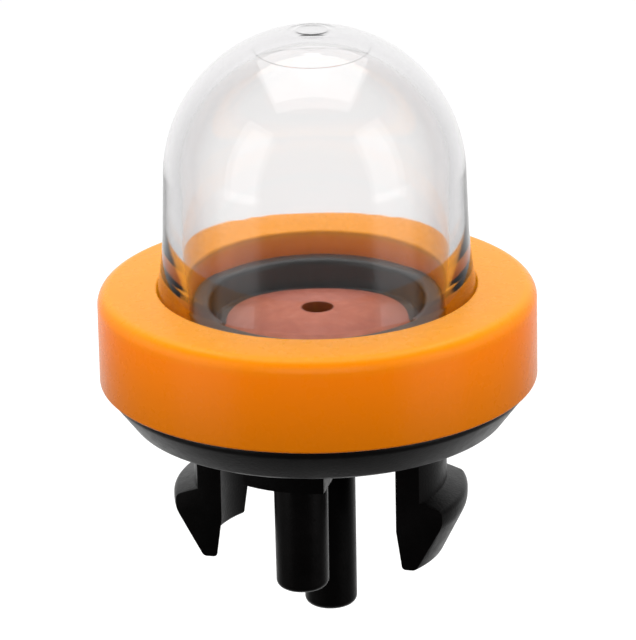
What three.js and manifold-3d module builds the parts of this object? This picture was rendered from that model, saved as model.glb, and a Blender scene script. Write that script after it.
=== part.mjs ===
// A snap-in primer bulb for a small petrol engine: a clear bulb over a rubber valve, held on a
// moulded base by a snap-on collar. Millimetres, +Z up. The origin is on the bulb's axis, on the
// flat underside of the base, which is the face that meets the panel.
import * as THREE from "three";
import { mergeVertices } from "three/addons/utils/BufferGeometryUtils.js";
import Module from "manifold-3d";

const wasm = await Module();
wasm.setup();

// Collar: a ring with a lip over the bulb's foot and a snap bead under it.
const collarRadius = 11.0;
const collarBottom = 2.0;
const collarTop = 6.75;
const collarBore = 8.02;
const collarLip = 1.35;
const collarWall = 1.32;
const collarRound = 0.7;
const boreRound = 0.1;
const leadIn = 0.2;

// Base: a bevelled disc with a rim that carries the collar, and a cup for the valve.
const undersideRadius = 9.35;
const bevelRadius = 10.6;
const bevelLand = 0.35;
const discRound = 0.5;
const shelfHeight = 3.8;
const cupRadius = 5.55;
const cupWall = 1.1;
const cupTop = 6.0;
const cupFloor = 4.55;
const cupRound = 0.25;
const snapHeight = 2.9;
const snapDepth = 0.25;
const snapBand = 0.3;

// Bulb: a soft domed shell with a flange that the collar's lip holds down.
const bulbWall = 0.94;
const domeRadius = 7.54;
const domeCentre = 12.55;
const crownHeight = 20.0;
const gateRadius = 1.0;
const gateHeight = 0.18;
const coreRadius = 2.65;
const coreStep = 0.08;
const crownWall = 0.87;
const wallDraft = 0.035;
const footFlare = 0.026;
const flareHeight = 9.9;
const neckRise = 0.2;
const mouthHeight = 1.7;
const flangeGap = 0.1;

// Valve: an umbrella disc with a slit beak below, one rubber moulding.
const valveRadius = 4.6;
const valveRim = 0.32;
const valveCrown = 1.0;
const valveRound = 0.1;
const shoulderShare = 0.55;
const shoulderRise = 0.85;
const valveHole = 0.78;
const stemRadius = 1.4;
const stemBarb = 0.35;
const beakWidth = 2.4;
const beakTip = 0.7;
const beakLength = 1.4;
const beakRoot = 0.1;
const slitWidth = 0.25;

// Passages inside the base.
const seatLand = 0.35;
const grooveInner = 2.85;
const grooveDepth = 1.25;
const neckLength = 1.2;
const chamberRadius = 2.1;
const chamberFloor = 0.9;
const feedOpening = 0.4;

// Two hose stubs under the base, the return one longer than the feed one.
const stubBore = 0.6;
const stubRound = 0.4;
const feedStub = { y: -4.35, radius: 1.37, taper: 0.05, length: 7.7 };
const returnStub = { y: 1.8, radius: 1.37, taper: 0.03, length: 11.2 };

// A shallow boss at the root of the feed stub.
const bossRadius = 6.0;
const bossDepth = 2.1;
const bossLeft = -2.7;
const bossRight = 1.5;
const bossBack = -2.6;
const bossRound = 0.2;

// Two legs, cut from one ring, that snap through the panel's hole.
const legInner = 5.35;
const legOuter = 6.4;
const legHalfWidth = 2.9;
const barbRadius = 7.45;
const barbShoulder = 3.5;
const barbSlope = 0.4;
const barbLand = 0.75;
const legLength = 7.15;
const tipInner = 5.6;
const tipOuter = 6.2;
const leadStart = 5.1;
const tipRound = 0.2;
const tipInnerRound = 0.15;
const barbRound = 0.5;

// Clearance between pieces that fit in each other, the depth at which one form is rooted in
// another, how far a cut runs past the surface it opens, and the rounding of small edges.
const fit = 0.08;
const root = 0.5;
const over = 1;
const edgeRound = 0.12;
const faces = 64;
const stubFaces = 24;

// Sizes that follow from the ones above.
const collarCavity = collarRadius - collarWall;
const rimRadius = collarCavity - fit;
const flangeRadius = rimRadius - flangeGap;
const lipUnderside = collarTop - collarLip;
const neckRadius = collarBore - fit;
const bulbBore = cupRadius + cupWall + fit;
const grooveOuter = valveRadius - seatLand;
const neckHole = stemRadius + fit;

// Points of one corner, rounded where the corner asks for it, as far as its sides allow.
function cornerPoints(before, corner, after) {
  const here = new THREE.Vector2(corner[0], corner[1]);
  const wanted = corner[2] ?? 0;
  if (wanted === 0) return [here];
  const back = new THREE.Vector2(before[0], before[1]).sub(here);
  const ahead = new THREE.Vector2(after[0], after[1]).sub(here);
  const room = 0.48 * Math.min(back.length(), ahead.length());
  back.normalize();
  ahead.normalize();
  const half = Math.acos(THREE.MathUtils.clamp(back.dot(ahead), -1, 1)) / 2;
  const reach = Math.min(wanted / Math.tan(half), room);
  const radius = reach * Math.tan(half);
  const centre = back.clone().add(ahead).normalize().multiplyScalar(radius / Math.sin(half)).add(here);
  const start = here.clone().addScaledVector(back, reach).sub(centre);
  const end = here.clone().addScaledVector(ahead, reach).sub(centre);
  const turn = Math.atan2(start.cross(end), start.dot(end));
  const steps = Math.max(1, Math.round(Math.abs(turn) / (Math.PI / 6)));
  return Array.from({ length: steps + 1 }, (_, i) =>
    start.clone().rotateAround(new THREE.Vector2(), (turn * i) / steps).add(centre));
}

// A closed outline from corners [radius, height, rounding].
function outline(corners) {
  return corners.flatMap((corner, i) =>
    cornerPoints(corners.at(i - 1), corner, corners[(i + 1) % corners.length]));
}

// Points along a dome that springs from the bulb's wall, from one height to another.
function domeArc(radius, rise, fromHeight, toHeight, steps) {
  const from = Math.asin((fromHeight - domeCentre) / rise);
  const to = Math.asin((toHeight - domeCentre) / rise);
  return Array.from({ length: steps + 1 }, (_, i) => {
    const angle = THREE.MathUtils.lerp(from, to, i / steps);
    return [radius * Math.cos(angle), domeCentre + rise * Math.sin(angle)];
  });
}

// The bulb's outer radius at a height under the dome: drafted, then flared at the foot.
function wallRadius(height) {
  const below = Math.max(0, flareHeight - height);
  const flared = domeRadius + wallDraft * (domeCentre - height) + footFlare * below ** 2;
  return Math.min(flared, neckRadius);
}

// Points along the bulb's wall, set in by a thickness, between two heights, ends left out.
function wallPoints(inset, fromHeight, toHeight, steps) {
  return Array.from({ length: steps - 1 }, (_, i) => {
    const height = THREE.MathUtils.lerp(fromHeight, toHeight, (i + 1) / steps);
    return [wallRadius(height) - inset, height];
  });
}

// A closed geometry as a solid, with shared corners merged and slivers on the axis left out.
function solid(geometry) {
  geometry.deleteAttribute("normal");
  geometry.deleteAttribute("uv");
  const merged = mergeVertices(geometry, 1e-5);
  const index = merged.index.array;
  const triVerts = [];
  for (let i = 0; i < index.length; i += 3) {
    const [a, b, c] = index.slice(i, i + 3);
    if (a !== b && b !== c && c !== a) triVerts.push(a, b, c);
  }
  return new wasm.Manifold(new wasm.Mesh({
    numProp: 3,
    vertProperties: Float32Array.from(merged.attributes.position.array),
    triVerts: Uint32Array.from(triVerts),
  }));
}

// A solid of revolution about Z from a closed outline.
function turned(corners, segments = faces) {
  const points = outline(corners);
  if (THREE.ShapeUtils.isClockWise(points)) points.reverse();
  const lathe = new THREE.LatheGeometry([...points, points[0]], segments);
  return solid(lathe.rotateX(Math.PI / 2));
}

// A box from its lowest to its highest corner.
function block(low, high) {
  const size = high.map((value, i) => value - low[i]);
  const box = new THREE.BoxGeometry(...size);
  return solid(box.translate(...high.map((value, i) => (value + low[i]) / 2)));
}

// The collar: bead and cavity below, lip and bore above.
function makeCollar() {
  const cavity = collarCavity;
  const bead = cavity - snapDepth;
  return turned([
    [cavity + leadIn, collarBottom],
    [collarRadius, collarBottom, edgeRound],
    [collarRadius, collarTop, collarRound],
    [collarBore, collarTop, boreRound],
    [collarBore, lipUnderside],
    [cavity, lipUnderside],
    [cavity, snapHeight + snapBand + snapDepth],
    [bead, snapHeight + snapBand],
    [bead, snapHeight],
    [cavity, snapHeight - snapDepth],
    [cavity, collarBottom + leadIn],
  ]);
}

// The base's disc, rim and cup, with the groove for the collar's bead.
function makeBody() {
  const groove = rimRadius - snapDepth;
  return turned([
    [0, 0],
    [undersideRadius, 0, discRound],
    [bevelRadius, collarBottom - bevelLand, discRound],
    [bevelRadius, collarBottom],
    [rimRadius, collarBottom],
    [rimRadius, snapHeight - snapDepth - fit],
    [groove, snapHeight - fit],
    [groove, snapHeight + snapBand + fit],
    [rimRadius, snapHeight + snapBand + snapDepth + fit],
    [rimRadius, shelfHeight],
    [cupRadius + cupWall, shelfHeight],
    [cupRadius + cupWall, cupTop, cupRound],
    [cupRadius, cupTop, cupRound],
    [cupRadius, cupFloor],
    [0, cupFloor],
  ]);
}

// The chamber round the valve's beak, with the hole that its stem passes through.
function makeChamber() {
  const neckBottom = cupFloor - neckLength;
  return turned([
    [0, chamberFloor],
    [chamberRadius, chamberFloor],
    [chamberRadius, neckBottom],
    [neckHole, neckBottom],
    [neckHole, cupFloor + root],
    [0, cupFloor + root],
  ], stubFaces * 2);
}

// The groove under the umbrella disc that the feed stub opens into.
function makeGroove() {
  return turned([
    [grooveInner, cupFloor - grooveDepth],
    [grooveOuter, cupFloor - grooveDepth],
    [grooveOuter, cupFloor + root],
    [grooveInner, cupFloor + root],
  ]);
}

// One hose stub, slightly tapered, with a rounded end.
function makeStub({ y, radius, taper, length }) {
  const stub = turned([
    [0, root],
    [radius, root],
    [radius - taper, -length, stubRound],
    [0, -length],
  ], stubFaces);
  return stub.translate([0, y, 0]);
}

// The bore of a stub, from its open end up to a height inside the base.
function makeBore({ y, length }, top) {
  const bottom = -length - root;
  const bore = turned([[0, bottom], [stubBore, bottom], [stubBore, top], [0, top]], stubFaces);
  return bore.translate([0, y, 0]);
}

// The boss at the feed stub's root: a slice of a round plug with two flat sides.
function makeBoss() {
  const plug = turned([
    [0, root],
    [bossRadius, root],
    [bossRadius, -bossDepth, bossRound],
    [0, -bossDepth],
  ]);
  const slice = block([bossLeft, -bossRadius - over, -bossDepth - over], [bossRight, bossBack, root]);
  return plug.intersect(slice);
}

// Both legs, with their barbs and the lead-in at their tips.
function makeLegs() {
  const ring = turned([
    [legInner, root],
    [legInner, -leadStart],
    [tipInner, -legLength, tipInnerRound],
    [tipOuter, -legLength, tipRound],
    [barbRadius, -barbShoulder - barbSlope - barbLand, barbRound],
    [barbRadius, -barbShoulder - barbSlope, edgeRound],
    [legOuter, -barbShoulder],
    [legOuter, root],
  ]);
  const reach = barbRadius + over;
  return ring.intersect(block([-reach, -legHalfWidth, -legLength - over], [reach, legHalfWidth, root]));
}

function makeBase() {
  const groove = makeGroove();
  const chamber = makeChamber();
  const feedBore = makeBore(feedStub, cupFloor - grooveDepth + feedOpening);
  const returnBore = makeBore(returnStub, chamberFloor + root);
  return makeBody()
    .add(makeLegs())
    .add(makeBoss())
    .add(makeStub(feedStub))
    .add(makeStub(returnStub))
    .subtract(chamber)
    .subtract(groove)
    .subtract(feedBore)
    .subtract(returnBore);
}

// The bulb's outside, from the flange up over the dome to the gate mark on its crown.
function bulbOutside() {
  const gateTop = crownHeight + gateHeight;
  const neckTop = collarTop + neckRise;
  return [
    [flangeRadius, shelfHeight],
    [flangeRadius, lipUnderside],
    [neckRadius, lipUnderside],
    [neckRadius, neckTop],
    ...wallPoints(0, neckTop, domeCentre, 6),
    ...domeArc(domeRadius, domeRadius, domeCentre, crownHeight, 9),
    [gateRadius, crownHeight],
    [gateRadius, gateTop],
    [0, gateTop],
  ];
}

// The bulb's inside, from the crown down to the mouth that fits over the cup.
function bulbInside() {
  const radius = domeRadius - bulbWall;
  const ceiling = crownHeight - crownWall;
  const ledge = ceiling - coreStep;
  const rise = (ledge - domeCentre) / Math.sqrt(1 - (coreRadius / radius) ** 2);
  const mouthTop = shelfHeight + mouthHeight;
  const wallFoot = collarTop + neckRise;
  return [
    [0, ceiling],
    [coreRadius, ceiling],
    ...domeArc(radius, rise, ledge, domeCentre, 8),
    ...wallPoints(bulbWall, domeCentre, wallFoot, 5),
    [neckRadius - bulbWall, wallFoot],
    [bulbBore, mouthTop],
    [bulbBore, shelfHeight],
  ];
}

function makeBulb() {
  return turned([...bulbOutside(), ...bulbInside()]);
}

// The valve: domed disc on its seat, stem through the base, and a hollow beak with a slit.
function makeValve() {
  const barbTop = cupFloor - neckLength - fit;
  const stemEnd = barbTop - 2 * stemBarb;
  const disc = turned([
    [0, cupFloor],
    [valveRadius, cupFloor],
    [valveRadius, cupFloor + valveRim, valveRound],
    [valveRadius * shoulderShare, cupFloor + valveCrown * shoulderRise],
    [valveHole, cupFloor + valveCrown, valveRound],
    [0, cupFloor + valveCrown],
  ]);
  const stem = turned([
    [0, stemEnd],
    [stemRadius, stemEnd],
    [stemRadius + stemBarb, barbTop - stemBarb],
    [stemRadius + stemBarb, barbTop],
    [stemRadius, barbTop],
    [stemRadius, cupFloor + root / 2],
    [0, cupFloor + root / 2],
  ], stubFaces * 2);
  const throat = turned([
    [0, stemEnd],
    [valveHole, stemEnd],
    [valveHole, cupFloor + valveCrown + over],
    [0, cupFloor + valveCrown + over],
  ], stubFaces);
  const lip = stemEnd - beakLength;
  const halfSlit = slitWidth / 2;
  const slit = block([-valveHole, -halfSlit, lip - over], [valveHole, halfSlit, stemEnd + beakRoot]);
  return disc.add(stem).add(makeBeak(stemEnd, lip)).subtract(throat).subtract(slit);
}

// The beak: a wedge that narrows from the stem to the slit's lips, trimmed round like the stem.
function makeBeak(top, bottom) {
  const half = beakWidth / 2;
  const wedge = new THREE.Shape([
    new THREE.Vector2(-half, top + beakRoot),
    new THREE.Vector2(-beakTip / 2, bottom),
    new THREE.Vector2(beakTip / 2, bottom),
    new THREE.Vector2(half, top + beakRoot),
  ]);
  const beak = new THREE.ExtrudeGeometry(wedge, { depth: 2 * half, bevelEnabled: false });
  beak.translate(0, 0, -half).applyMatrix4(new THREE.Matrix4().makeBasis(
    new THREE.Vector3(0, 1, 0), new THREE.Vector3(0, 0, 1), new THREE.Vector3(1, 0, 0)));
  const trim = turned([
    [0, bottom - over],
    [stemRadius, bottom - over],
    [stemRadius, top + over],
    [0, top + over],
  ], stubFaces * 2);
  return solid(beak).intersect(trim);
}

// A named mesh with its own material from a finished solid.
function piece(name, shape, material) {
  const { vertProperties, triVerts } = shape.getMesh();
  const geometry = new THREE.BufferGeometry();
  geometry.setAttribute("position", new THREE.BufferAttribute(vertProperties, 3));
  geometry.setIndex(new THREE.BufferAttribute(triVerts, 1));
  geometry.computeVertexNormals();
  const mesh = new THREE.Mesh(geometry, new THREE.MeshStandardMaterial(material));
  mesh.name = name;
  return mesh;
}

const blackNylon = { color: 0x1c1c1e, roughness: 0.45, metalness: 0 };
const pinkRubber = { color: 0xc8745f, roughness: 0.6, metalness: 0 };
const clearPlastic = { color: 0xf4f1ef, roughness: 0.1, metalness: 0, transparent: true, opacity: 0.3 };
const orangePlastic = { color: 0xf08a10, roughness: 0.35, metalness: 0 };

const primerBulb = new THREE.Group();
primerBulb.add(
  piece("base", makeBase(), blackNylon),
  piece("valve", makeValve(), pinkRubber),
  piece("bulb", makeBulb(), clearPlastic),
  piece("collar", makeCollar(), orangePlastic),
);

export default primerBulb;
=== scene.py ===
"""The primer bulb dressed: finer surfaces for its four mouldings, their materials, and the studio."""

import math

import bpy
from mathutils import Matrix, Vector


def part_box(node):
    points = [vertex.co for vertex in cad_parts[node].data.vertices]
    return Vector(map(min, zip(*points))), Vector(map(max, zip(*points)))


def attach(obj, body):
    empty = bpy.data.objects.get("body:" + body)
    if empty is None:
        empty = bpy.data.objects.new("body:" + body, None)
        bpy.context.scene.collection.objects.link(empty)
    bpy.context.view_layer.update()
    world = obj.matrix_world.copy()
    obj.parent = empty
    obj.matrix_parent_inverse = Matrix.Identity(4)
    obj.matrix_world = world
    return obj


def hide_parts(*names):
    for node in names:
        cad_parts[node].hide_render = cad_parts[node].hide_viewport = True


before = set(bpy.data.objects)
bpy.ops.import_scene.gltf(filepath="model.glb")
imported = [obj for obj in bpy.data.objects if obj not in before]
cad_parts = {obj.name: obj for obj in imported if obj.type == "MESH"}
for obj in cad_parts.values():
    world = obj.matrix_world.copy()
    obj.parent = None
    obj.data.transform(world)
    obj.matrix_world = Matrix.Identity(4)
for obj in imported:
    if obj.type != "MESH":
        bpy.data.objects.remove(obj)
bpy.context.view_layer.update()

# Sizes are in millimetres and angles in degrees, unless a comment says otherwise.
MM = 0.001
ROUND_FACES = 256
VALVE_FACES = 192
PEG_FACES = 96
BORE_FACES = 48
SHARP_ANGLE = 28
ARC_STEP = 9
ROUNDING_SHARE = 0.48
FIT = 0.08

# Heights and radii of the four pieces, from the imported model.
base_low, base_high = (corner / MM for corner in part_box("base"))
valve_low, valve_high = (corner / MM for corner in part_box("valve"))
bulb_low, bulb_high = (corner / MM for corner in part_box("bulb"))
collar_low, collar_high = (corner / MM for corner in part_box("collar"))
COLLAR_RADIUS = collar_high.x
COLLAR_BOTTOM = collar_low.z
COLLAR_TOP = collar_high.z
BEVEL_RADIUS = base_high.x
CUP_TOP = base_high.z
SHELF = bulb_low.z
FLANGE_RADIUS = bulb_high.x
RETURN_END = base_low.z

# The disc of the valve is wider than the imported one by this, and its beak longer.
VALVE_SPREAD = 0.18
BEAK_DROP = 0.05
VALVE_RADIUS = valve_high.x + VALVE_SPREAD
BEAK_LIP = valve_low.z - BEAK_DROP


def corner_points(before, corner, after):
    """One corner of an outline, rounded where it asks for it, as far as its sides allow."""
    here = Vector(corner[:2])
    wanted = corner[2] if len(corner) > 2 else 0
    if not wanted:
        return [here]
    back = Vector(before[:2]) - here
    ahead = Vector(after[:2]) - here
    room = ROUNDING_SHARE * min(back.length, ahead.length)
    back.normalize()
    ahead.normalize()
    half = back.angle(ahead) / 2
    reach = min(wanted / math.tan(half), room)
    radius = reach * math.tan(half)
    centre = here + (back + ahead).normalized() * radius / math.sin(half)
    start = here + back * reach - centre
    end = here + ahead * reach - centre
    turn = math.atan2(start.x * end.y - start.y * end.x, start.dot(end))
    steps = max(2, round(abs(turn) / math.radians(ARC_STEP)))
    return [centre + Matrix.Rotation(turn * i / steps, 2) @ start for i in range(steps + 1)]


def outline(corners):
    """A closed outline from corners (radius, height, rounding)."""
    points = []
    for i, corner in enumerate(corners):
        points += corner_points(corners[i - 1], corner, corners[(i + 1) % len(corners)])
    return points


def new_object(name, verts, faces):
    """A mesh object from points in millimetres."""
    mesh = bpy.data.meshes.new(name)
    mesh.from_pydata([[value * MM for value in vert] for vert in verts], [], faces)
    mesh.validate()
    made = bpy.data.objects.new(name, mesh)
    bpy.context.scene.collection.objects.link(made)
    return made


def turned(name, corners, count=ROUND_FACES, at=(0, 0)):
    """A solid of revolution about an upright axis from a closed outline."""
    points = outline(corners)
    area = sum(a.x * b.y - b.x * a.y for a, b in zip(points, points[1:] + points[:1]))
    if area < 0:
        points.reverse()
    verts = []
    rings = []
    for point in points:
        on_axis = point.x < 1e-6
        ring = []
        for k in range(1 if on_axis else count):
            angle = 2 * math.pi * k / count
            ring.append(len(verts))
            verts.append((at[0] + point.x * math.cos(angle), at[1] + point.x * math.sin(angle), point.y))
        rings.append(ring * count if on_axis else ring)
    faces = []
    for lower, upper in zip(rings, rings[1:] + rings[:1]):
        for k in range(count):
            corner = [lower[k], lower[(k + 1) % count], upper[(k + 1) % count], upper[k]]
            face = list(dict.fromkeys(corner))
            if len(face) > 2:
                faces.append(face)
    return new_object(name, verts, faces)


def block(name, low, high):
    """A box from its lowest to its highest corner."""
    corners = [(x, y, z) for z in (low[2], high[2]) for y in (low[1], high[1]) for x in (low[0], high[0])]
    faces = [(0, 2, 3, 1), (4, 5, 7, 6), (0, 1, 5, 4), (2, 6, 7, 3), (0, 4, 6, 2), (1, 3, 7, 5)]
    return new_object(name, corners, faces)


def settle(piece):
    """Turns the modifiers of a piece into its own mesh."""
    depsgraph = bpy.context.evaluated_depsgraph_get()
    mesh = bpy.data.meshes.new_from_object(piece.evaluated_get(depsgraph))
    piece.modifiers.clear()
    piece.data = mesh


def combine(piece, other, operation):
    """Joins, cuts or intersects a piece with another, which is used up."""
    modifier = piece.modifiers.new(operation.lower(), "BOOLEAN")
    modifier.operation = operation
    modifier.object = other
    modifier.solver = "EXACT"
    settle(piece)
    bpy.data.objects.remove(other)


def soften(piece, width, angle=35):
    """Rounds the edges of a piece that are sharper than an angle."""
    bevel = piece.modifiers.new("edges", "BEVEL")
    bevel.width = width * MM
    bevel.segments = 3
    bevel.limit_method = "ANGLE"
    bevel.angle_limit = math.radians(angle)
    bevel.harden_normals = False
    settle(piece)


def finish_piece(piece, node, material):
    """Smooths a finished piece, gives it its material and puts it in its node's place."""
    mesh = piece.data
    mesh.shade_smooth()
    mesh.set_sharp_from_angle(angle=math.radians(SHARP_ANGLE))
    mesh.materials.clear()
    mesh.materials.append(material)
    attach(piece, "root")
    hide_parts(node)


# Shader nodes

def map_range(tree, value, source, target=(0, 1)):
    """A number carried from one range to another, held at its ends."""
    node = tree.nodes.new("ShaderNodeMapRange")
    for name, number in zip(("From Min", "From Max", "To Min", "To Max"), (*source, *target)):
        node.inputs[name].default_value = number
    tree.links.new(value, node.inputs["Value"])
    return node.outputs["Result"]


def vector_length(tree, vector):
    node = tree.nodes.new("ShaderNodeVectorMath")
    node.operation = "LENGTH"
    tree.links.new(vector, node.inputs[0])
    return node.outputs["Value"]


def vector_times(tree, vector, factors):
    node = tree.nodes.new("ShaderNodeVectorMath")
    node.operation = "MULTIPLY"
    node.inputs[1].default_value = factors
    tree.links.new(vector, node.inputs[0])
    return node.outputs["Vector"]


def calculate(tree, operation, first, second):
    """One sum on two values, each of which is a socket or a plain number."""
    node = tree.nodes.new("ShaderNodeMath")
    node.operation = operation
    for socket, value in zip(node.inputs, (first, second)):
        if isinstance(value, float):
            socket.default_value = value
        else:
            tree.links.new(value, socket)
    return node.outputs["Value"]


def ramp(tree, factor, stops):
    """A colour ramp from (place, colour) stops."""
    node = tree.nodes.new("ShaderNodeValToRGB")
    elements = node.color_ramp.elements
    elements.remove(elements[-1])
    for i, (place, colour) in enumerate(stops):
        element = elements[0] if i == 0 else elements.new(place)
        element.position = place
        element.color = (*colour, 1)
    tree.links.new(factor, node.inputs["Fac"])
    return node.outputs["Color"]


def mix_shaders(tree, share, first, second):
    """One shader where the share is 0 and another where it is 1."""
    node = tree.nodes.new("ShaderNodeMixShader")
    tree.links.new(share, node.inputs["Fac"])
    tree.links.new(first, node.inputs[1])
    tree.links.new(second, node.inputs[2])
    return node.outputs["Shader"]


def noise(tree, vector, scale, detail, distortion=0.0):
    node = tree.nodes.new("ShaderNodeTexNoise")
    node.inputs["Scale"].default_value = scale
    node.inputs["Detail"].default_value = detail
    node.inputs["Distortion"].default_value = distortion
    tree.links.new(vector, node.inputs["Vector"])
    return node.outputs["Fac"]


# The stretch of a noise texture in which nearly all of its values lie.
NOISE_REACH = (0.3, 0.7)


def roughen(tree, shader, texture, low, high):
    """Roughness that follows a texture between two values."""
    tree.links.new(map_range(tree, texture, NOISE_REACH, (low, high)), shader.inputs["Roughness"])


def bump(tree, shader, texture, strength, distance):
    """Raises a surface by a texture."""
    node = tree.nodes.new("ShaderNodeBump")
    node.inputs["Strength"].default_value = strength
    node.inputs["Distance"].default_value = distance * MM
    tree.links.new(texture, node.inputs["Height"])
    tree.links.new(node.outputs["Normal"], shader.inputs["Normal"])


def height_share(tree, vector, low, high):
    """How far up a piece a point is, from 0 at one height to 1 at another."""
    split = tree.nodes.new("ShaderNodeSeparateXYZ")
    tree.links.new(vector, split.inputs["Vector"])
    return map_range(tree, split.outputs["Z"], (low, high))


def new_material(name):
    """A material with its node tree, its shader, and coordinates in millimetres of the object."""
    material = bpy.data.materials.new(name)
    material.use_nodes = True
    tree = material.node_tree
    coordinates = tree.nodes.new("ShaderNodeTexCoord")
    scale = tree.nodes.new("ShaderNodeMapping")
    scale.inputs["Scale"].default_value = (1 / MM, 1 / MM, 1 / MM)
    tree.links.new(coordinates.outputs["Object"], scale.inputs["Vector"])
    return material, tree, tree.nodes["Principled BSDF"], scale.outputs["Vector"]


# Materials

PLASTIC_IOR = 1.48
BULB_IOR = 1.47
# The orange is painted darker towards its lower edge as painted shade down its side, and lighter and
# yellower on its top face as painted light; the ramp runs from its lower edge at 0.
ORANGE_PAINTED_LIGHT_AND_SHADE = [
    (0.0, (0.66, 0.165, 0.001)),
    (0.80, (0.94, 0.205, 0.001)),
    (0.95, (0.96, 0.26, 0.002)),
    (1.0, (0.97, 0.35, 0.004)),
]
ORANGE_SPECULAR = 0.18
NYLON_TINT = [(0.3, (0.0012, 0.0010, 0.0010)), (0.7, (0.0022, 0.0018, 0.0018))]
# The legs and stubs reflect less than the disc, as painted shade under the disc: the change runs between
# these heights.
NYLON_SHADE_HEIGHTS = (-0.8, 0.2)
NYLON_PAINTED_SHADE_SPECULAR = [(0.0, (0.17, 0.17, 0.17)), (1.0, (0.6, 0.6, 0.6))]
RUBBER_TINT = [
    (0.25, (0.43, 0.110, 0.066)),
    (0.55, (0.50, 0.138, 0.084)),
    (0.8, (0.58, 0.19, 0.125)),
]
# Inside the valve's hole the rubber is painted dark red as painted shade in the recess.
THROAT_PAINTED_SHADE = (0.13, 0.012, 0.005, 1)
# The edge of the valve's hole is at half of the ramp's length.
THROAT_EDGE = 0.5
THROAT_SHADE_FADE = [(THROAT_EDGE, (0, 0, 0)), (0.56, (1, 1, 1))]
# The clear plastic's tint by how far it faces away: painted shade towards the outline, a little lighter at
# the very edge.
BULB_PAINTED_EDGE_SHADE = [
    (0.0, (0.985, 0.978, 0.976)),
    (0.33, (0.96, 0.955, 0.953)),
    (0.46, (0.86, 0.85, 0.855)),
    (0.58, (0.74, 0.73, 0.74)),
    (0.72, (0.80, 0.79, 0.80)),
    (1.0, (0.90, 0.89, 0.89)),
]
BULB_SHADE = (0.985, 0.98, 0.978, 1)


def orange_plastic():
    material, tree, shader, vector = new_material("orange_plastic")
    height = height_share(tree, vector, COLLAR_BOTTOM, COLLAR_TOP)
    # The colour by height is painted shade down the side and painted light on the top face.
    tree.links.new(ramp(tree, height, ORANGE_PAINTED_LIGHT_AND_SHADE), shader.inputs["Base Color"])
    roughen(tree, shader, noise(tree, vector, scale=1.2, detail=3), low=0.25, high=0.31)
    shader.inputs["IOR"].default_value = PLASTIC_IOR
    shader.inputs["Specular IOR Level"].default_value = ORANGE_SPECULAR
    bump(tree, shader, noise(tree, vector, scale=0.9, detail=2), strength=0.02, distance=0.02)
    return material


def black_nylon():
    material, tree, shader, vector = new_material("black_nylon")
    cloud = noise(tree, vector, scale=0.8, detail=5)
    tree.links.new(ramp(tree, cloud, NYLON_TINT), shader.inputs["Base Color"])
    roughen(tree, shader, noise(tree, vector, scale=2.2, detail=5), low=0.28, high=0.38)
    shader.inputs["IOR"].default_value = PLASTIC_IOR
    height = height_share(tree, vector, *NYLON_SHADE_HEIGHTS)
    # Reflections on the legs and stubs are turned down by height as painted shade under the disc.
    tree.links.new(ramp(tree, height, NYLON_PAINTED_SHADE_SPECULAR), shader.inputs["Specular IOR Level"])
    bump(tree, shader, noise(tree, vector, scale=8.0, detail=3), strength=0.55, distance=0.02)
    return material


def pink_rubber():
    material, tree, shader, vector = new_material("pink_rubber")
    cloud = noise(tree, vector, scale=1.4, detail=6, distortion=0.4)
    across = THROAT_EDGE / VALVE_HOLE
    from_axis = vector_length(tree, vector_times(tree, vector, (across, across, 0)))
    # Inside the hole the colour is painted shade, not the rubber's own colour.
    shade = tree.nodes.new("ShaderNodeMix")
    shade.data_type = "RGBA"
    shade.inputs["A"].default_value = THROAT_PAINTED_SHADE
    tree.links.new(ramp(tree, from_axis, THROAT_SHADE_FADE), shade.inputs["Factor"])
    tree.links.new(ramp(tree, cloud, RUBBER_TINT), shade.inputs["B"])
    tree.links.new(shade.outputs["Result"], shader.inputs["Base Color"])
    roughen(tree, shader, noise(tree, vector, scale=3.0, detail=4), low=0.38, high=0.55)
    shader.inputs["IOR"].default_value = PLASTIC_IOR
    bump(tree, shader, noise(tree, vector, scale=4.5, detail=5), strength=0.5, distance=0.03)
    return material


def clear_plastic():
    """Clear moulded plastic that lets the lamps reach what is under it, painted darker towards its outline
    as painted shade.
    """
    material, tree, shader, vector = new_material("clear_plastic")
    edge = tree.nodes.new("ShaderNodeLayerWeight")
    tree.links.new(ramp(tree, edge.outputs["Facing"], BULB_PAINTED_EDGE_SHADE), shader.inputs["Base Color"])
    roughen(tree, shader, noise(tree, vector, scale=0.6, detail=4), low=0.03, high=0.06)
    shader.inputs["Transmission Weight"].default_value = 1.0
    shader.inputs["IOR"].default_value = BULB_IOR
    bump(tree, shader, noise(tree, vector, scale=0.35, detail=2), strength=0.12, distance=0.03)
    passing = tree.nodes.new("ShaderNodeBsdfTransparent")
    passing.inputs["Color"].default_value = BULB_SHADE
    path = tree.nodes.new("ShaderNodeLightPath")
    shadowed = path.outputs["Is Shadow Ray"]
    surface = mix_shaders(tree, shadowed, shader.outputs["BSDF"], passing.outputs["BSDF"])
    tree.links.new(surface, tree.nodes["Material Output"].inputs["Surface"])
    return material


# The collar

RIM_MARGIN = 0.1
RIM_RADIUS = FLANGE_RADIUS + RIM_MARGIN
CAVITY = RIM_RADIUS + FIT
LIP_THICKNESS = 1.35
LIP_UNDERSIDE = COLLAR_TOP - LIP_THICKNESS
COLLAR_BORE = 8.02
COLLAR_RISE = 0.1
COLLAR_ROUND = 0.7
COLLAR_FOOT_ROUND = 0.15
BORE_ROUND = 0.1
LEAD_IN = 0.2
SNAP_HEIGHT = 2.9
SNAP_DEPTH = 0.25
SNAP_BAND = 0.3


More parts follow.
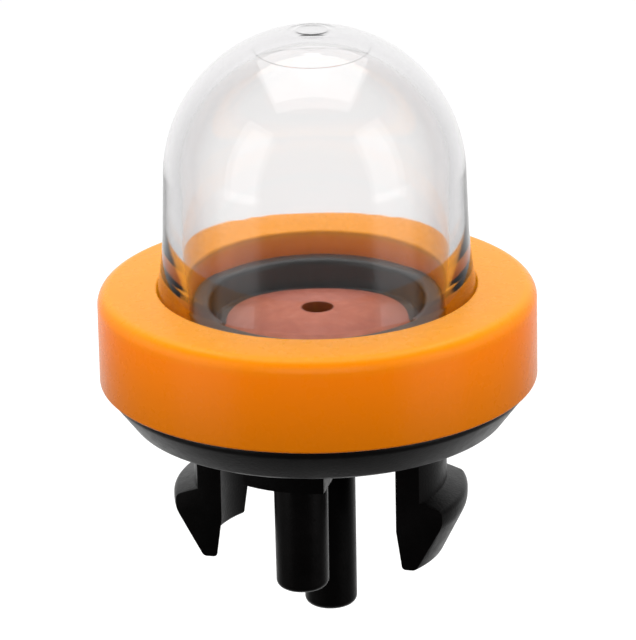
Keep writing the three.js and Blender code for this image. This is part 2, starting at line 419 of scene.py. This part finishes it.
def make_collar(material):
    bead = CAVITY - SNAP_DEPTH
    piece = turned("orange_collar", [
        (CAVITY + LEAD_IN, COLLAR_BOTTOM),
        (COLLAR_RADIUS, COLLAR_BOTTOM, COLLAR_FOOT_ROUND),
        (COLLAR_RADIUS, COLLAR_TOP, COLLAR_ROUND),
        (COLLAR_BORE, COLLAR_TOP + COLLAR_RISE, BORE_ROUND),
        (COLLAR_BORE, LIP_UNDERSIDE),
        (CAVITY, LIP_UNDERSIDE),
        (CAVITY, SNAP_HEIGHT + SNAP_BAND + SNAP_DEPTH),
        (bead, SNAP_HEIGHT + SNAP_BAND),
        (bead, SNAP_HEIGHT),
        (CAVITY, SNAP_HEIGHT - SNAP_DEPTH),
        (CAVITY, COLLAR_BOTTOM + LEAD_IN),
    ])
    finish_piece(piece, "collar", material)


# The bulb

CUP_OUTER = 6.65
BULB_RADIUS = 7.54
BULB_WALL = 0.84
DOME_CENTRE = 12.55
CROWN = 20.0
CROWN_WALL = 0.87
CORE_RADIUS = 2.65
CORE_STEP = 0.025
CORE_STEPS = 20
GATE_RADIUS = 1.0
GATE_TOP_RADIUS = 0.8
GATE_HEIGHT = 0.07
GATE_ROUND = 0.2
GATE_TOP = CROWN + GATE_HEIGHT
WALL_DRAFT = 0.035
# The foot widens by this for each square millimetre of depth under the flare's start.
FOOT_FLARE = 0.026
FLARE_HEIGHT = 9.9
NECK_RADIUS = COLLAR_BORE - FIT
NECK_RISE = 0.2
NECK_TOP = COLLAR_TOP + NECK_RISE
# The soft neck is pressed onto the collar's bore up to a little under its top.
NECK_PRESS = 0.01
PRESSED_RADIUS = COLLAR_BORE + NECK_PRESS
PRESSED_DROP = 0.12
PRESSED_TOP = COLLAR_TOP - PRESSED_DROP
MOUTH_DEPTH = 1.7
MOUTH_TOP = SHELF + MOUTH_DEPTH
WALL_STEPS = 40


def dome_arc(radius, rise, low, high):
    """Points along a dome that springs from the bulb's wall, from one height to another."""
    start = math.asin((low - DOME_CENTRE) / rise)
    end = math.asin((high - DOME_CENTRE) / rise)
    angles = [start + (end - start) * i / WALL_STEPS for i in range(WALL_STEPS + 1)]
    return [(radius * math.cos(a), DOME_CENTRE + rise * math.sin(a)) for a in angles]


def wall_radius(height):
    """The bulb's outer radius at a height under the dome: drafted, then flared at the foot."""
    below = max(0, FLARE_HEIGHT - height)
    flared = BULB_RADIUS + WALL_DRAFT * (DOME_CENTRE - height) + FOOT_FLARE * below ** 2
    return min(flared, NECK_RADIUS)


def wall_points(low, high):
    """Points along the outside of the bulb's wall between two heights, ends left out."""
    heights = [low + (high - low) * i / WALL_STEPS for i in range(1, WALL_STEPS)]
    return [(wall_radius(height), height) for height in heights]


def bulb_outside():
    """The outline from the flange up the wall and over the dome to the gate mark."""
    return [
        (FLANGE_RADIUS, SHELF),
        (FLANGE_RADIUS, LIP_UNDERSIDE),
        (PRESSED_RADIUS, LIP_UNDERSIDE),
        (PRESSED_RADIUS, PRESSED_TOP),
        (wall_radius(NECK_TOP), NECK_TOP),
        *wall_points(NECK_TOP, DOME_CENTRE),
        *dome_arc(BULB_RADIUS, BULB_RADIUS, DOME_CENTRE, CROWN),
        (GATE_RADIUS, CROWN),
        (GATE_TOP_RADIUS, GATE_TOP, GATE_ROUND),
        (0, GATE_TOP),
    ]


def bulb_inside():
    """The outline from the core's mark under the crown down the straight inner wall to the mouth."""
    inner = BULB_RADIUS - BULB_WALL
    ceiling = CROWN - CROWN_WALL
    turns = [i / CORE_STEPS * math.asin(CORE_RADIUS / inner) for i in range(CORE_STEPS + 1)]
    core = [(inner * math.sin(turn), ceiling - inner * (1 - math.cos(turn))) for turn in turns]
    ledge = core[-1][1] - CORE_STEP
    rise = (ledge - DOME_CENTRE) / math.sqrt(1 - (CORE_RADIUS / inner) ** 2)
    bore = CUP_OUTER + FIT
    return [
        *core,
        *dome_arc(inner, rise, ledge, DOME_CENTRE),
        (bore, MOUTH_TOP),
        (bore, SHELF),
    ]


def make_bulb(material):
    piece = turned("clear_bulb", bulb_outside() + bulb_inside())
    finish_piece(piece, "bulb", material)


# The valve

CUP_FLOOR = 4.22
VALVE_RISE = 1.06
VALVE_CROWN = CUP_FLOOR + VALVE_RISE
VALVE_RIM = 0.32
VALVE_ROUND = 0.12
SHOULDER_SHARE = 0.55
SHOULDER_RISE = 0.85
SHOULDER_ROUND = 4.0
VALVE_HOLE = 0.8
VALVE_EDGE = {"width": 0.05, "angle": 50}
STEM_RADIUS = 1.4
STEM_BARB = 0.35
NECK_LENGTH = 1.2
BARB_TOP = CUP_FLOOR - NECK_LENGTH - FIT
STEM_END = BARB_TOP - 2 * STEM_BARB
BEAK_WIDTH = 2.4
BEAK_TIP = 0.7
BEAK_OVERLAP = 0.1
BEAK_ROOT = STEM_END + BEAK_OVERLAP
SLIT = 0.25
# How far a cutting piece runs out beyond what it cuts.
CLEARANCE = 1


def make_disc_and_stem():
    return turned("rubber_valve", [
        (0, STEM_END),
        (STEM_RADIUS, STEM_END),
        (STEM_RADIUS + STEM_BARB, BARB_TOP - STEM_BARB),
        (STEM_RADIUS + STEM_BARB, BARB_TOP),
        (STEM_RADIUS, BARB_TOP),
        (STEM_RADIUS, CUP_FLOOR),
        (VALVE_RADIUS, CUP_FLOOR),
        (VALVE_RADIUS, CUP_FLOOR + VALVE_RIM, VALVE_ROUND),
        (VALVE_RADIUS * SHOULDER_SHARE, CUP_FLOOR + VALVE_RISE * SHOULDER_RISE, SHOULDER_ROUND),
        (0, VALVE_CROWN),
    ], VALVE_FACES)


def make_beak():
    """The wedge under the stem, square at its root and narrow at its lips."""
    half = BEAK_WIDTH / 2
    tip = BEAK_TIP / 2
    lips = [(-half, -tip, BEAK_LIP), (half, -tip, BEAK_LIP), (half, tip, BEAK_LIP), (-half, tip, BEAK_LIP)]
    root = [(x, y, BEAK_ROOT) for x, y in ((-half, -half), (half, -half), (half, half), (-half, half))]
    faces = [(3, 2, 1, 0), (4, 5, 6, 7), (0, 1, 5, 4), (1, 2, 6, 5), (2, 3, 7, 6), (3, 0, 4, 7)]
    return new_object("beak", lips + root, faces)


def make_throat():
    top = VALVE_CROWN + CLEARANCE
    corners = [(0, STEM_END), (VALVE_HOLE, STEM_END), (VALVE_HOLE, top), (0, top)]
    return turned("throat", corners, PEG_FACES)


def make_slit():
    low = (-VALVE_HOLE, -SLIT / 2, BEAK_LIP - CLEARANCE)
    return block("slit", low, (VALVE_HOLE, SLIT / 2, BEAK_ROOT))


def make_valve(material):
    piece = make_disc_and_stem()
    combine(piece, make_beak(), "UNION")
    combine(piece, make_throat(), "DIFFERENCE")
    combine(piece, make_slit(), "DIFFERENCE")
    soften(piece, **VALVE_EDGE)
    finish_piece(piece, "valve", material)


# The base

# How far a piece runs into the one that it is joined to or cut from.
ROOT = 0.5
CUP_RADIUS = 5.55
CUP_LIP_ROUND = (0.25, 0.3)
CUP_FLOOR_ROUND = 0.15
UNDERSIDE_RADIUS = 9.35
BEVEL_LAND = 0.35
DISC_ROUND = 0.5
BEVEL_ROUND = 0.08
LEG_INNER = 5.35
LEG_OUTER = 6.4
LEG_HALF = 2.9
LEG_EDGE = 0.18
LEG_LENGTH = 7.15
BARB_RADIUS = 7.45
BARB_SHOULDER = 3.5
BARB_SLOPE = 0.4
BARB_LAND = 0.75
BARB_ROUND = (1.2, 0.35)
TIP_INNER = 5.6
TIP_OUTER = 6.2
TIP_ROUND = (0.2, 0.25)
LEAD_START = 5.1
BOSS_RADIUS = 6.0
BOSS_DEPTH = 2.1
BOSS_SIDES = (-2.7, 1.5)
BOSS_BACK = -2.6
BOSS_EDGE = 0.3
STUB_BORE = 0.6
STUB_ROUND = 0.4
FEED = {"y": -4.35, "radius": 1.37, "taper": 0.05, "end": -7.7}
RETURN = {"y": 1.8, "radius": 1.37, "taper": 0.03, "end": RETURN_END}
GROOVE_INNER = 2.85
GROOVE_MARGIN = 0.35
GROOVE_OUTER = VALVE_RADIUS - GROOVE_MARGIN
GROOVE_DEPTH = 1.25
GROOVE_FLOOR = CUP_FLOOR - GROOVE_DEPTH
FEED_OPENING = 0.4
CHAMBER_RADIUS = 2.1
CHAMBER_FLOOR = 0.8


def make_legs():
    """The two snap legs, cut from one ring."""
    barb_end = -BARB_SHOULDER - BARB_SLOPE
    ring = turned("legs", [
        (LEG_INNER, ROOT),
        (LEG_INNER, -LEAD_START),
        (TIP_INNER, -LEG_LENGTH, TIP_ROUND[0]),
        (TIP_OUTER, -LEG_LENGTH, TIP_ROUND[1]),
        (BARB_RADIUS, barb_end - BARB_LAND, BARB_ROUND[0]),
        (BARB_RADIUS, barb_end, BARB_ROUND[1]),
        (LEG_OUTER, -BARB_SHOULDER),
        (LEG_OUTER, ROOT),
    ])
    reach = BARB_RADIUS + CLEARANCE
    low = (-reach, -LEG_HALF, -LEG_LENGTH - CLEARANCE)
    combine(ring, block("slab", low, (reach, LEG_HALF, ROOT)), "INTERSECT")
    soften(ring, LEG_EDGE)
    return ring


def make_boss():
    """The boss at the root of the feed stub, with its flat sides and its round front."""
    corners = [(0, ROOT), (BOSS_RADIUS, ROOT), (BOSS_RADIUS, -BOSS_DEPTH), (0, -BOSS_DEPTH)]
    plug = turned("boss", corners)
    low = (BOSS_SIDES[0], -BOSS_RADIUS - CLEARANCE, -BOSS_DEPTH - CLEARANCE)
    combine(plug, block("slab", low, (BOSS_SIDES[1], BOSS_BACK, ROOT)), "INTERSECT")
    soften(plug, BOSS_EDGE)
    return plug


def make_stub(name, y, radius, taper, end):
    corners = [(0, ROOT), (radius, ROOT), (radius - taper, end, STUB_ROUND), (0, end)]
    return turned(name, corners, PEG_FACES, (0, y))


def make_bore(name, stub, top):
    low = stub["end"] - ROOT
    corners = [(0, low), (STUB_BORE, low), (STUB_BORE, top), (0, top)]
    return turned(name, corners, BORE_FACES, (0, stub["y"]))


def make_body():
    """The bevelled disc with the rim, the snap groove and the cup."""
    groove = RIM_RADIUS - SNAP_DEPTH
    return turned("black_base", [
        (0, 0),
        (UNDERSIDE_RADIUS, 0, DISC_ROUND),
        (BEVEL_RADIUS, COLLAR_BOTTOM - BEVEL_LAND, DISC_ROUND),
        (BEVEL_RADIUS, COLLAR_BOTTOM, BEVEL_ROUND),
        (RIM_RADIUS, COLLAR_BOTTOM),
        (RIM_RADIUS, SNAP_HEIGHT - SNAP_DEPTH - FIT),
        (groove, SNAP_HEIGHT - FIT),
        (groove, SNAP_HEIGHT + SNAP_BAND + FIT),
        (RIM_RADIUS, SNAP_HEIGHT + SNAP_BAND + SNAP_DEPTH + FIT),
        (RIM_RADIUS, SHELF),
        (CUP_OUTER, SHELF),
        (CUP_OUTER, CUP_TOP, CUP_LIP_ROUND[0]),
        (CUP_RADIUS, CUP_TOP, CUP_LIP_ROUND[1]),
        (CUP_RADIUS, CUP_FLOOR, CUP_FLOOR_ROUND),
        (0, CUP_FLOOR),
    ])


def make_chamber():
    """The room under the valve that the return stub's bore opens into, and the stem's hole over it."""
    ceiling = CUP_FLOOR - NECK_LENGTH
    hole = STEM_RADIUS + FIT
    top = CUP_FLOOR + ROOT
    return turned("chamber", [
        (0, CHAMBER_FLOOR), (CHAMBER_RADIUS, CHAMBER_FLOOR), (CHAMBER_RADIUS, ceiling),
        (hole, ceiling), (hole, top), (0, top),
    ], PEG_FACES)


def make_feed_groove():
    """The ring groove under the valve's disc that the feed stub's bore opens into."""
    top = CUP_FLOOR + ROOT
    return turned("groove", [
        (GROOVE_INNER, GROOVE_FLOOR),
        (GROOVE_OUTER, GROOVE_FLOOR),
        (GROOVE_OUTER, top),
        (GROOVE_INNER, top),
    ])


def make_base(material):
    piece = make_body()
    cuts = (make_chamber(), make_feed_groove())
    for part in (make_legs(), make_boss(), make_stub("feed", **FEED), make_stub("return", **RETURN)):
        combine(piece, part, "UNION")
    bores = (make_bore("feed_bore", FEED, GROOVE_FLOOR + FEED_OPENING),
             make_bore("return_bore", RETURN, CHAMBER_FLOOR + ROOT))
    for cut in (*cuts, *bores):
        combine(piece, cut, "DIFFERENCE")
    finish_piece(piece, "base", material)


# The camera

VIEW_AZIMUTH = 13.3
VIEW_ELEVATION = 20.4
VIEW_DISTANCE = 250
VIEW_ROLL = -1.16
VIEW_TILT = 0.228
VIEW_HEIGHT = 3.81
FOCAL_PIXELS = 4981
IMAGE_HEIGHT = 640
SENSOR = 36
CLIP_START = 0.01


def direction(azimuth, elevation):
    """The direction towards a viewer at an azimuth and elevation."""
    a = math.radians(azimuth)
    e = math.radians(elevation)
    return Vector((math.sin(a) * math.cos(e), -math.cos(a) * math.cos(e), math.sin(e)))


def make_camera():
    """The camera that the photograph was fitted with; its clipping distance is in metres."""
    data = bpy.data.cameras.new("camera")
    data.sensor_width = SENSOR
    data.lens = FOCAL_PIXELS / IMAGE_HEIGHT * SENSOR
    data.clip_start = CLIP_START
    camera = bpy.data.objects.new("camera", data)
    bpy.context.scene.collection.objects.link(camera)
    back = direction(VIEW_AZIMUTH, VIEW_ELEVATION)
    camera.location = (Vector((0, 0, VIEW_HEIGHT)) + back * VIEW_DISTANCE) * MM
    facing = (-back).to_track_quat("-Z", "Y").to_matrix()
    roll = Matrix.Rotation(math.radians(VIEW_ROLL), 3, "Z")
    tilt = Matrix.Rotation(math.radians(VIEW_TILT), 3, "X")
    camera.rotation_euler = (facing @ roll @ tilt).to_euler()
    bpy.context.scene.camera = camera


# The lamps

LAMP_AIM = 8
SIDE_TURN = 58
SIDE_BOX = {"elevation": 15, "distance": 350, "size": (170, 420), "radiance": 1.1}
TOP_BOX = {"elevation": 75, "distance": 450, "size": (450, 450), "radiance": 1.8}
FILL_TURN = 95
FILL_BOX = {"elevation": 12, "distance": 500, "size": (500, 400), "radiance": 2.8}


def softbox(name, azimuth, elevation, distance, size, radiance):
    """An area lamp that faces the object."""
    data = bpy.data.lights.new(name, "AREA")
    data.shape = "RECTANGLE"
    data.size = size[0] * MM
    data.size_y = size[1] * MM
    data.energy = radiance * math.pi * data.size * data.size_y
    lamp = bpy.data.objects.new(name, data)
    bpy.context.scene.collection.objects.link(lamp)
    back = direction(azimuth, elevation)
    lamp.location = (Vector((0, 0, LAMP_AIM)) + back * distance) * MM
    lamp.rotation_euler = (-back).to_track_quat("-Z", "Y").to_euler()
    return lamp


def fill(name, azimuth):
    """A broad soft lamp that lights surfaces evenly and makes no highlight of its own."""
    lamp = softbox(name, azimuth, **FILL_BOX)
    lamp.visible_glossy = False
    lamp.visible_transmission = False


def make_lamps():
    softbox("left_box", VIEW_AZIMUTH - SIDE_TURN, **SIDE_BOX)
    softbox("right_box", VIEW_AZIMUTH + SIDE_TURN, **SIDE_BOX)
    softbox("top_box", VIEW_AZIMUTH + 180, **TOP_BOX)
    fill("front_fill", VIEW_AZIMUTH)
    fill("left_fill", VIEW_AZIMUTH - FILL_TURN)
    fill("right_fill", VIEW_AZIMUTH + FILL_TURN)


# The room and the floor

FLOOR_HEIGHT = -40
FLOOR_SPAN = 1500
FLOOR_GLOW = 0.62
FLOOR_PAPER = (0.5, 0.5, 0.5, 1)
# The floor's shadow fades into plain white between these distances.
FLOOR_FADE = (140, 220)
WHITE = (1, 1, 1, 1)
# The share of white on rays that leave the bulb after a turn inside its wall.
RIM_SHARE = 0.7
# Brightness in reflections, by the angle from the direction that the photograph has behind the object.
ROOM_LEVELS = [(180, 0.05), (75, 0.08), (45, 0.5), (24, 1.0), (0, 1.0)]
NEAR_LEVELS = [(180, 0.03), (110, 0.05), (75, 0.15), (45, 0.5), (24, 0.9), (0, 0.9)]
# The floor further out, where two white cards lie at the sides.
CARD_LEVELS = [
    (180, 0.05), (140, 0.06), (133, 1.0), (107, 1.0), (100, 0.2),
    (60, 0.25), (42, 0.6), (24, 1.0), (0, 1.0),
]
# The near floor changes into the floor with the cards between these distances.
CARD_START = (112, 124)


def surround_level(tree, vector, levels):
    """How bright the room is in a direction: levels run from in front of the object to behind it."""
    unit = tree.nodes.new("ShaderNodeVectorMath")
    unit.operation = "NORMALIZE"
    along = tree.nodes.new("ShaderNodeVectorMath")
    along.operation = "DOT_PRODUCT"
    along.inputs[1].default_value = direction(VIEW_AZIMUTH + 180, 0)
    turn = tree.nodes.new("ShaderNodeMath")
    turn.operation = "ARCCOSINE"
    tree.links.new(vector_times(tree, vector, (1, 1, 0)), unit.inputs[0])
    tree.links.new(unit.outputs["Vector"], along.inputs[0])
    tree.links.new(along.outputs["Value"], turn.inputs[0])
    share = map_range(tree, turn.outputs["Value"], (math.pi, 0))
    return ramp(tree, share, [(1 - angle / 180, (level, level, level)) for angle, level in levels])


def seen_through(tree, path):
    """1 on rays that the camera sends straight through clear plastic, less after a turn inside its wall."""
    depth = calculate(tree, "ADD", path.outputs["Glossy Depth"], path.outputs["Diffuse Depth"])
    straight = calculate(tree, "LESS_THAN", depth, 0.5)
    single_wall = calculate(tree, "LESS_THAN", path.outputs["Transmission Depth"], 2.5)
    bare = calculate(tree, "LESS_THAN", path.outputs["Diffuse Depth"], 0.5)
    inside_wall = calculate(tree, "MULTIPLY", single_wall, bare)
    turned_share = calculate(tree, "MULTIPLY", inside_wall, RIM_SHARE)
    share = calculate(tree, "MAXIMUM", straight, turned_share)
    return calculate(tree, "MULTIPLY", path.outputs["Is Transmission Ray"], share)


def make_world():
    """A dim room with white paper behind the object, and white wherever the camera looks."""
    world = bpy.data.worlds.new("studio")
    bpy.context.scene.world = world
    world.use_nodes = True
    tree = world.node_tree
    room = tree.nodes["Background"]
    room.inputs["Color"].default_value = WHITE
    coordinates = tree.nodes.new("ShaderNodeTexCoord")
    level = surround_level(tree, coordinates.outputs["Generated"], ROOM_LEVELS)
    tree.links.new(level, room.inputs["Strength"])
    white = tree.nodes.new("ShaderNodeBackground")
    white.inputs["Color"].default_value = WHITE
    path = tree.nodes.new("ShaderNodeLightPath")
    seen = calculate(tree, "MAXIMUM", path.outputs["Is Camera Ray"], seen_through(tree, path))
    surface = mix_shaders(tree, seen, room.outputs["Background"], white.outputs["Background"])
    tree.links.new(surface, tree.nodes["World Output"].inputs["Surface"])


def floor_reach(tree, limits):
    """0 on the floor near the object and 1 far from it, between two distances."""
    place = tree.nodes.new("ShaderNodeNewGeometry")
    reach = vector_length(tree, place.outputs["Position"])
    return map_range(tree, reach, [limit * MM for limit in limits])


def card_level(tree):
    """How bright the floor is in reflections."""
    place = tree.nodes.new("ShaderNodeNewGeometry")
    mix = tree.nodes.new("ShaderNodeMix")
    mix.data_type = "FLOAT"
    tree.links.new(floor_reach(tree, CARD_START), mix.inputs["Factor"])
    tree.links.new(surround_level(tree, place.outputs["Position"], NEAR_LEVELS), mix.inputs["A"])
    tree.links.new(surround_level(tree, place.outputs["Position"], CARD_LEVELS), mix.inputs["B"])
    return mix.outputs["Result"]


def glow(tree, strength=1.0):
    """A plain emission shader."""
    node = tree.nodes.new("ShaderNodeEmission")
    node.inputs["Strength"].default_value = strength
    return node


def lit_paper(tree):
    """White paper that shows the object's shadow, and shows white where no shadow lies."""
    paper = tree.nodes.new("ShaderNodeBsdfDiffuse")
    paper.inputs["Color"].default_value = FLOOR_PAPER
    both = tree.nodes.new("ShaderNodeAddShader")
    tree.links.new(paper.outputs["BSDF"], both.inputs[0])
    tree.links.new(glow(tree, FLOOR_GLOW).outputs["Emission"], both.inputs[1])
    return both.outputs["Shader"]


def floor_material():
    """Paper for the camera, the room's levels in reflections, and white through clear plastic."""
    material = bpy.data.materials.new("floor_paper")
    material.use_nodes = True
    tree = material.node_tree
    tree.nodes.remove(tree.nodes["Principled BSDF"])
    path = tree.nodes.new("ShaderNodeLightPath")
    white = glow(tree).outputs["Emission"]
    reflected = glow(tree)
    tree.links.new(card_level(tree), reflected.inputs["Strength"])
    seen = mix_shaders(tree, floor_reach(tree, FLOOR_FADE), lit_paper(tree), white)
    bare = mix_shaders(tree, path.outputs["Is Camera Ray"], reflected.outputs["Emission"], seen)
    surface = mix_shaders(tree, seen_through(tree, path), bare, white)
    tree.links.new(surface, tree.nodes["Material Output"].inputs["Surface"])
    return material


def make_floor():
    signs = ((-1, -1), (1, -1), (1, 1), (-1, 1))
    corners = [(x * FLOOR_SPAN, y * FLOOR_SPAN, FLOOR_HEIGHT) for x, y in signs]
    floor = new_object("floor", corners, [(0, 1, 2, 3)])
    floor.data.materials.append(floor_material())


bpy.context.scene.view_settings.view_transform = "Standard"
make_camera()
make_lamps()
make_world()
make_floor()
make_base(black_nylon())
make_valve(pink_rubber())
make_bulb(clear_plastic())
make_collar(orange_plastic())
